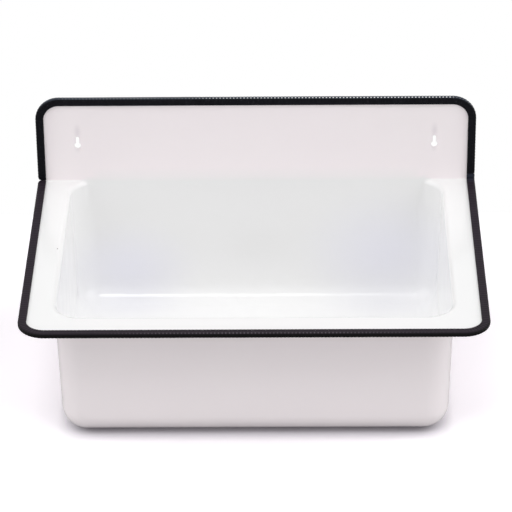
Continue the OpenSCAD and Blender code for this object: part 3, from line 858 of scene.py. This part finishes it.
def new_recipe(name, sockets):
    """An empty geometry recipe with its named inputs, after the mesh that it works on."""
    tree = bpy.data.node_groups.new(name, "GeometryNodeTree")
    tree.interface.new_socket("Mesh", in_out="INPUT", socket_type="NodeSocketGeometry")
    for label, kind in sockets:
        tree.interface.new_socket(label, in_out="INPUT", socket_type=kind)
    tree.interface.new_socket("Mesh", in_out="OUTPUT", socket_type="NodeSocketGeometry")
    return tree, add(tree, "NodeGroupInput")


def close_recipe(tree, geometry, material):
    plain = add(tree, "GeometryNodeRealizeInstances", {"Geometry": geometry})
    coated = add(tree, "GeometryNodeSetMaterial", {
        "Geometry": plain.outputs["Geometry"], "Material": material,
    })
    add(tree, "NodeGroupOutput", {"Mesh": coated.outputs["Geometry"]})


def run_recipe(piece, tree, values):
    """Applies a recipe with its inputs set by name, and leaves a plain mesh."""
    step = piece.modifiers.new(tree.name, "NODES")
    step.node_group = tree
    for item in tree.interface.items_tree:
        if item.in_out == "INPUT" and item.name in values:
            step[item.identifier] = values[item.name]
    finished_mesh(piece)


def core_ribs_recipe():
    """The steel core's segments press through the plastic as fine ribs across the strip, and the
    strip, pushed on by hand, lies a little uneven."""
    tree, given = new_recipe("core_ribs", (
        ("Pitch", "NodeSocketFloat"), ("Depth", "NodeSocketFloat"), ("Lay", "NodeSocketFloat"),
        ("Plastic", "NodeSocketMaterial"),
    ))
    along = add(tree, "GeometryNodeInputNamedAttribute", {"Name": "along"}, data_type="FLOAT")
    crest = add(tree, "GeometryNodeInputNamedAttribute", {"Name": "crest"}, data_type="FLOAT")
    turns = add(tree, "ShaderNodeMath", {
        0: along.outputs["Attribute"], 1: given.outputs["Pitch"],
    }, operation="DIVIDE")
    angle = add(tree, "ShaderNodeMath", {0: turns.outputs[0], 1: 2 * math.pi}, operation="MULTIPLY")
    ripple = add(tree, "ShaderNodeMath", {0: angle.outputs[0]}, operation="COSINE")
    groove = add(tree, "ShaderNodeMapRange", {
        "Value": ripple.outputs[0], "From Min": -1.0, "From Max": 0.6, "To Min": 1.0, "To Max": 0.0,
    })
    sunk = add(tree, "ShaderNodeMath", {
        0: groove.outputs[0], 1: given.outputs["Depth"],
    }, operation="MULTIPLY")
    place = add(tree, "GeometryNodeInputPosition")
    drift = add(tree, "ShaderNodeTexNoise", {
        "Vector": place.outputs["Position"], "Scale": 28.0, "Detail": 1.0,
    })
    slack = add(tree, "ShaderNodeMath", {
        0: drift.outputs[0], 1: given.outputs["Lay"],
    }, operation="MULTIPLY")
    both = add(tree, "ShaderNodeMath", {0: sunk.outputs[0], 1: slack.outputs[0]}, operation="ADD")
    shown = add(tree, "ShaderNodeMath", {
        0: both.outputs[0], 1: crest.outputs["Attribute"],
    }, operation="MULTIPLY")
    inward = add(tree, "ShaderNodeMath", {0: shown.outputs[0], 1: -1.0}, operation="MULTIPLY")
    normal = add(tree, "GeometryNodeInputNormal")
    shift = add(tree, "ShaderNodeVectorMath", {
        0: normal.outputs[0], "Scale": inward.outputs[0],
    }, operation="SCALE")
    moved = add(tree, "GeometryNodeSetPosition", {
        "Geometry": given.outputs["Mesh"], "Offset": shift.outputs[0],
    })
    close_recipe(tree, moved.outputs["Geometry"], given.outputs["Plastic"])
    return tree


core_ribs = core_ribs_recipe()


def make_strip(name, path, ends, glints, plastic, node):
    """One strip in the place of its node. Ends are the radii of its first and last cut end, and
    glints the distance and the reach of its line of painted glints."""
    strip = strip_body(name, path, *ends, *glints)
    run_recipe(strip, core_ribs, {
        "Pitch": RIB_PITCH * MM, "Depth": 0.22 * MM, "Lay": 0.25 * MM, "Plastic": plastic,
    })
    even_shading(strip, 50)
    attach(strip, "root")
    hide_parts(node)


STRIP_STEP = 0.75

make_strip(
    "rim_edge_strip", rim_path(STRIP_STEP), (2.6, 1.6), (1.5, 0.9), rim_pvc, "rim_edging",
)
make_strip(
    "splashback_edge_strip", splashback_path(STRIP_STEP), (3.0, 1.2), (0.1, 0.45), splash_pvc,
    "splashback_edging",
)


# Strainer and waste

PLATE_T = 1.0
PLATE_Z = SEAT_Z + 1.5 + PLATE_T
DISH_Z = PLATE_Z - 6.0
SCREW_HOLE_R = 3.3


def rounded(outline, radius):
    """A profile with its inner corners rounded."""
    smooth = [np.array(outline[0], float)]
    for before, here, after in zip(outline, outline[1:], outline[2:]):
        before, here, after = (np.array(p, float) for p in (before, here, after))
        back, ahead = before - here, after - here
        reach = min(radius, np.linalg.norm(back) * 0.45, np.linalg.norm(ahead) * 0.45)
        start = here + back / np.linalg.norm(back) * reach
        end = here + ahead / np.linalg.norm(ahead) * reach
        for t in np.linspace(0, 1, 5):
            smooth.append((1 - t) ** 2 * start + 2 * t * (1 - t) * here + t * t * end)
    smooth.append(np.array(outline[-1], float))
    return smooth


def turned(name, profile, closed=True, segments=96, thread=None):
    """Revolves a profile of radius and height about the drain's axis. A thread gives its top, its
    bottom, its pitch, its depth and the radius outside which it is cut."""
    thread_top, thread_end, pitch, depth, core_r = thread or (0.0, 0.0, 1.0, 0.0, 0.0)
    points = []
    for r, z in profile:
        for t in np.linspace(0, 2 * math.pi, segments, endpoint=False):
            deep = 0.0
            if thread_end < z < thread_top and r > core_r:
                fade = min((thread_top - z) / pitch, (z - thread_end) / pitch, 1.0)
                phase = (z / pitch - t / (2 * math.pi)) % 1.0
                deep = depth * fade * max(0.0, 1 - 2.3 * abs(phase - 0.5))
            points.append(((r - deep) * math.cos(t), DRAIN_Y + (r - deep) * math.sin(t), z))
    faces = []
    rows = len(profile)
    for k in range(rows if closed else rows - 1):
        a, b = k * segments, (k + 1) % rows * segments
        for i in range(segments):
            m = (i + 1) % segments
            faces.append((a + i, a + m, b + m, b + i))
    if not closed:
        faces.append(tuple(range(segments)))
        faces.append(tuple((rows - 1) * segments + i for i in range(segments)))
    piece = new_piece(name, points, faces)
    face_outwards(piece, merge=True)
    return piece


def block(name, plan, low, high):
    """A straight block over a plan of four corners, between two heights."""
    points = [(x, y, z) for z in (low, high) for x, y in plan]
    faces = [(3, 2, 1, 0), (4, 5, 6, 7), (0, 1, 5, 4), (1, 2, 6, 5), (2, 3, 7, 6), (3, 0, 4, 7)]
    return new_piece(name, points, faces, smooth=False)


def perforation_recipe():
    """Punches two rings of round holes through the dish."""
    tree, given = new_recipe("strainer_holes", (
        ("Outer Ring", "NodeSocketFloat"), ("Outer Count", "NodeSocketInt"),
        ("Inner Ring", "NodeSocketFloat"), ("Inner Count", "NodeSocketInt"),
        ("Hole Radius", "NodeSocketFloat"), ("Punch Depth", "NodeSocketFloat"),
        ("Centre", "NodeSocketVector"), ("Steel", "NodeSocketMaterial"),
    ))
    punch = add(tree, "GeometryNodeMeshCylinder", {
        "Vertices": 24, "Radius": given.outputs["Hole Radius"],
        "Depth": given.outputs["Punch Depth"],
    })
    rings = []
    for which in ("Outer", "Inner"):
        ring = add(tree, "GeometryNodeMeshCircle", {
            "Vertices": given.outputs[which + " Count"], "Radius": given.outputs[which + " Ring"],
        })
        punches = add(tree, "GeometryNodeInstanceOnPoints", {
            "Points": ring.outputs["Mesh"], "Instance": punch.outputs["Mesh"],
        })
        rings.append(punches.outputs["Instances"])
    both = add(tree, "GeometryNodeJoinGeometry")
    for ring in rings:
        tree.links.new(ring, both.inputs["Geometry"])
    solid = add(tree, "GeometryNodeRealizeInstances", {"Geometry": both.outputs["Geometry"]})
    centred = add(tree, "GeometryNodeTransform", {
        "Geometry": solid.outputs["Geometry"], "Translation": given.outputs["Centre"],
    })
    punched = add(tree, "GeometryNodeMeshBoolean", {
        "Mesh 1": given.outputs["Mesh"], "Mesh 2": centred.outputs["Geometry"],
    }, operation="DIFFERENCE", solver="EXACT")
    close_recipe(tree, punched.outputs["Mesh"], given.outputs["Steel"])
    return tree


def make_strainer():
    """A pressed and perforated plate with a dished middle and a softened rim."""
    floor_r, mouth_r, outer_r = 20.0, 24.0, 35.5
    bend_r, lean = 1.6, 0.53
    plate_under, dish_under = PLATE_Z - PLATE_T, DISH_Z - PLATE_T
    top = rounded([
        (SCREW_HOLE_R, DISH_Z), (floor_r, DISH_Z), (mouth_r, PLATE_Z), (outer_r, PLATE_Z),
    ], bend_r)
    under = rounded([
        (outer_r, plate_under), (mouth_r + lean, plate_under), (floor_r + lean, dish_under),
        (SCREW_HOLE_R, dish_under),
    ], bend_r)
    edge = [np.array(p) for p in (
        (outer_r - 0.15, PLATE_Z), (outer_r, PLATE_Z - 0.2),
        (outer_r, plate_under + 0.2), (outer_r - 0.15, plate_under),
    )]
    plate = turned("strainer_dish", top[:-1] + edge + under[1:], segments=120)
    run_recipe(plate, perforation_recipe(), {
        "Outer Ring": 16 * MM, "Outer Count": 12, "Inner Ring": 10 * MM, "Inner Count": 6,
        "Hole Radius": 2.5 * MM, "Punch Depth": 6 * MM, "Steel": stainless,
        "Centre": tuple(to_row([(0, DRAIN_Y, (DISH_Z + dish_under) / 2)])[0]),
    })
    even_shading(plate, 35)
    return plate


def make_centre_screw():
    """A slotted oval-head screw with its thread cut at the foot."""
    head_r, head_h, shank_r, arc = 6.5, 3.0, 3.0, 1.25
    dome = []
    for t in np.linspace(0.02, arc, 12):
        drop = head_h * (1 - math.cos(t)) / (1 - math.cos(arc)) * 0.9
        dome.append((head_r * math.sin(t) / math.sin(arc), DISH_Z + head_h - drop))
    foot = DISH_Z - 32.0
    shank = [(head_r - 0.1, DISH_Z), (shank_r, DISH_Z)]
    shank += [(shank_r, z) for z in np.arange(DISH_Z - 0.4, foot + 0.6, -0.125)]
    shank += [(2.4, foot), (0.05, foot)]
    screw = turned(
        "centre_screw", dome + shank, closed=False, segments=48,
        thread=(DISH_Z - 12.0, foot + 0.4, 1.0, 0.55, 2.0),
    )
    slot_half_w, past_head = 0.72, 9
    slot = block("slot_cutter", [
        (-past_head, DRAIN_Y - slot_half_w), (past_head, DRAIN_Y - slot_half_w),
        (past_head, DRAIN_Y + slot_half_w), (-past_head, DRAIN_Y + slot_half_w),
    ], DISH_Z + head_h / 2, DISH_Z + head_h * 1.5)
    combine(screw, [slot], "DIFFERENCE")
    even_shading(screw, 35)
    dress(screw, stainless)
    return screw


def make_waste():
    """The moulded fitting: flange, funnel, spider with its hub, and the inch-and-a-half thread."""
    top = UNDER_Z - 3.0
    end = top - 50.0
    mouth_r, bore_r, flange_r, tail_r = 27.0, 20.0, 33.0, 23.9
    flange_end = top - 3.5
    funnel = rounded([(mouth_r, top), (bore_r, top - 7.0), (bore_r, end)], 2.0)
    outer = [
        (flange_r - 0.4, top), (flange_r, top - 0.4),
        (flange_r, flange_end + 0.4), (flange_r - 0.4, flange_end),
        (tail_r + 4.55, flange_end), (tail_r, flange_end - 4.55),
    ]
    outer += [(tail_r, z) for z in np.arange(top - 8.3, end + 0.5, -0.28)]
    outer += [(tail_r - 0.4, end), (bore_r + 0.4, end)]
    body = turned(
        "waste_fitting", outer + funnel[::-1][1:],
        thread=(top - 14.0, end + 1.0, 2.309, 1.25, 22.0),
    )
    hub_top = top - 10.0
    hub_end = hub_top - 12.0
    hub_r, insert_r, seat = 9.0, 5.5, hub_top - 4.0
    hub = turned("hub", rounded([
        (SCREW_HOLE_R, hub_top), (hub_r, hub_top), (hub_r, hub_end), (insert_r, hub_end),
        (insert_r, seat), (SCREW_HOLE_R, seat),
    ], 0.5), segments=48)
    arms = []
    for k in range(3):
        t = math.pi / 2 + k * 2 * math.pi / 3
        c, s = math.cos(t), math.sin(t)
        plan = [
            (u * c - v * s, DRAIN_Y + u * s + v * c)
            for u, v in ((6.6, -1.5), (21.9, -1.5), (21.9, 1.5), (6.6, 1.5))
        ]
        arms.append(block("arm", plan, hub_end, hub_top - 2.0))
    combine(body, [hub] + arms, "UNION")
    even_shading(body, 35)
    dress(body, polypropylene)
    return body


for piece, node, slot in (
    (make_strainer(), "strainer_plate", "stainless"),
    (make_centre_screw(), "strainer_screw", "stainless"),
    (make_waste(), "waste_body", "waste_plastic"),
):
    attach(piece, "root")
    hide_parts(node)

for node, material in (
    ("rim_edging_core", spring_steel), ("splashback_edging_core", spring_steel),
    ("strainer_seal", rubber), ("waste_seal", rubber), ("screw_insert", brass),
):
    dress(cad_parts[node], material)


# Camera, as fitted to thirteen edges of the photograph

def place_camera():
    """Stands the camera by its place from the fold in millimetres, its turns in degrees and its
    focal length in pixels of the picture."""
    place = (40.89, -3156.71, 1693.23)
    yaw, pitch, roll = math.radians(-0.764), math.radians(29.625), math.radians(-0.613)
    focal, picture_w = 3064.7, 512.0
    run = math.cos(pitch)
    ahead = Vector((math.sin(yaw) * run, math.cos(yaw) * run, -math.sin(pitch)))
    level = Vector((math.cos(yaw), -math.sin(yaw), 0.0))
    upright = level.cross(ahead)
    right = math.cos(roll) * level + math.sin(roll) * upright
    up = math.cos(roll) * upright - math.sin(roll) * level
    lens = bpy.data.cameras.new("camera")
    lens.sensor_width = 36.0
    lens.lens = focal * lens.sensor_width / picture_w
    lens.clip_end = 50.0
    camera = bpy.data.objects.new("camera", lens)
    turn = Matrix((right, up, -ahead)).transposed().to_4x4()
    camera.matrix_world = Matrix.Translation(Vector(to_row(place))) @ turn
    bpy.context.scene.collection.objects.link(camera)
    bpy.context.scene.camera = camera


place_camera()


# Floor and light

def white_table_top():
    """White to the camera, while the object gets back only what a table of its size would give;
    darker where the bowl stands close over it, which is a painted contact shadow."""
    material, tree, skin = new_material("white_table_top")
    black = (0.0, 0.0, 0.0, 1.0)
    path = add(tree, "ShaderNodeLightPath")
    white = add(tree, "ShaderNodeMix", {
        "Factor": path.outputs["Is Camera Ray"],
        "A": (0.58, 0.58, 0.58, 1.0), "B": (0.985, 0.965, 1.0, 1.0),
    }, data_type="RGBA")
    more_white = add(tree, "ShaderNodeMix", {
        "Factor": path.outputs["Is Camera Ray"], "A": black, "B": (0.25, 0.24, 0.25, 1.0),
    }, data_type="RGBA")
    # A painted contact shadow: the table's colour darkens and turns purple where little of the sky
    # is seen.
    sky_seen = add(tree, "ShaderNodeAmbientOcclusion", {"Distance": 0.018})
    openness = add(tree, "ShaderNodeMath", {0: sky_seen.outputs["AO"], 1: 0.5}, operation="POWER")
    tone, extra_tone = (
        add(tree, "ShaderNodeMix", {
            "Factor": openness.outputs["Value"], "A": dark, "B": colour.outputs["Result"],
        }, data_type="RGBA")
        for colour, dark in ((white, (0.06, 0.04, 0.08, 1.0)), (more_white, black))
    )
    tree.links.new(tone.outputs["Result"], skin.inputs["Base Color"])
    skin.inputs["Roughness"].default_value = 0.9
    skin.inputs["Specular IOR Level"].default_value = 0.0
    extra = add(tree, "ShaderNodeBsdfDiffuse", {"Color": extra_tone.outputs["Result"]})
    bright = add(tree, "ShaderNodeAddShader", {0: skin.outputs["BSDF"], 1: extra.outputs["BSDF"]})
    clear = add(tree, "ShaderNodeBsdfTransparent")
    # It isn't there from below, nor for the light that reaches the underside from close by.
    below = add(tree, "ShaderNodeNewGeometry").outputs["Backfacing"]
    near = add(tree, "ShaderNodeMath", {
        0: path.outputs["Ray Length"], 1: 0.008,
    }, operation="LESS_THAN")
    away = add(tree, "ShaderNodeMath", {0: below, 1: near.outputs["Value"]}, operation="MAXIMUM")
    pick = add(tree, "ShaderNodeMixShader", {
        0: away.outputs["Value"], 1: bright.outputs["Shader"], 2: clear.outputs["BSDF"],
    })
    surface = next(node for node in tree.nodes if node.type == "OUTPUT_MATERIAL")
    tree.links.new(pick.outputs["Shader"], surface.inputs["Surface"])
    return material


def place_floor():
    """A white table top under the bowl's floor, with a round opening for the drain's seat and the
    waste. It is seen from above only and ends a little behind the wall's plane."""
    gap = 1.2
    z = (RIM_Z - BOWL_DEPTH - SHEET_T - gap) * MM
    half_w, front, back, opening_r = 8.0, -8.0, 0.2, 0.048
    middle = (FOLD_Y + DRAIN_Y) * MM
    corners = [math.atan2(y - middle, x) for x in (-half_w, half_w) for y in (front, back)]
    rays = sorted(corners + [math.radians(6.0 * k) for k in range(-29, 31)])
    inner, outer = [], []
    for angle in rays:
        c, s = math.cos(angle), math.sin(angle)
        to_side = half_w / max(abs(c), TINY)
        to_end = ((back if s > 0 else front) - middle) / s if abs(s) > TINY else FAR
        reach = min(to_side, to_end)
        inner.append((opening_r * c, middle + opening_r * s, z))
        outer.append((reach * c, middle + reach * s, z))
    count = len(rays)
    around = [(k, k + count, (k + 1) % count + count, (k + 1) % count) for k in range(count)]
    mesh = bpy.data.meshes.new("floor")
    mesh.from_pydata(inner + outer, [], around)
    mesh.materials.append(white_table_top())
    floor = bpy.data.objects.new("floor", mesh)
    bpy.context.scene.collection.objects.link(floor)


def place_lights():
    """A dim room that mirrors show as a white tent, four white softboxes and a tube of light."""
    world = bpy.data.worlds.new("studio")
    bpy.context.scene.world = world
    world.use_nodes = True
    tree = world.node_tree
    tree.nodes.clear()
    path = add(tree, "ShaderNodeLightPath")
    seen = add(tree, "ShaderNodeMath", {
        0: path.outputs["Is Camera Ray"], 1: path.outputs["Is Transmission Ray"],
    }, operation="MAXIMUM")
    mirrored = add(tree, "ShaderNodeMix", {
        "Factor": path.outputs["Is Glossy Ray"], "A": 0.18, "B": 0.8,
    }, data_type="FLOAT")
    strength = add(tree, "ShaderNodeMix", {
        "Factor": seen.outputs["Value"], "A": mirrored.outputs["Result"], "B": 1.0,
    }, data_type="FLOAT")
    sky = add(tree, "ShaderNodeBackground", {
        "Color": (1.0, 1.0, 1.0, 1.0), "Strength": strength.outputs["Result"],
    })
    add(tree, "ShaderNodeOutputWorld", {"Surface": sky.outputs["Background"]})
    for name, energy, width, toward in (
        ("left_softbox", 1.53, 70, (-1.0, -0.25, 0.55)),
        ("right_softbox", 1.76, 70, (1.0, -0.25, 0.55)),
        ("top_softbox", 0.78, 70, (0.0, 0.0, 1.0)),
        ("low_front_softbox", 0.3, 70, (0.0, -1.0, 0.2)),
        ("tube", 0.26, 13, (-0.09, -0.45, 0.9)),
    ):
        lamp = bpy.data.lights.new(name, "SUN")
        lamp.energy = energy
        lamp.angle = math.radians(width)
        sun = bpy.data.objects.new(name, lamp)
        sun.matrix_world = Vector(toward).to_track_quat("Z", "Y").to_matrix().to_4x4()
        bpy.context.scene.collection.objects.link(sun)


place_floor()
place_lights()
bpy.context.scene.view_settings.view_transform = "Standard"

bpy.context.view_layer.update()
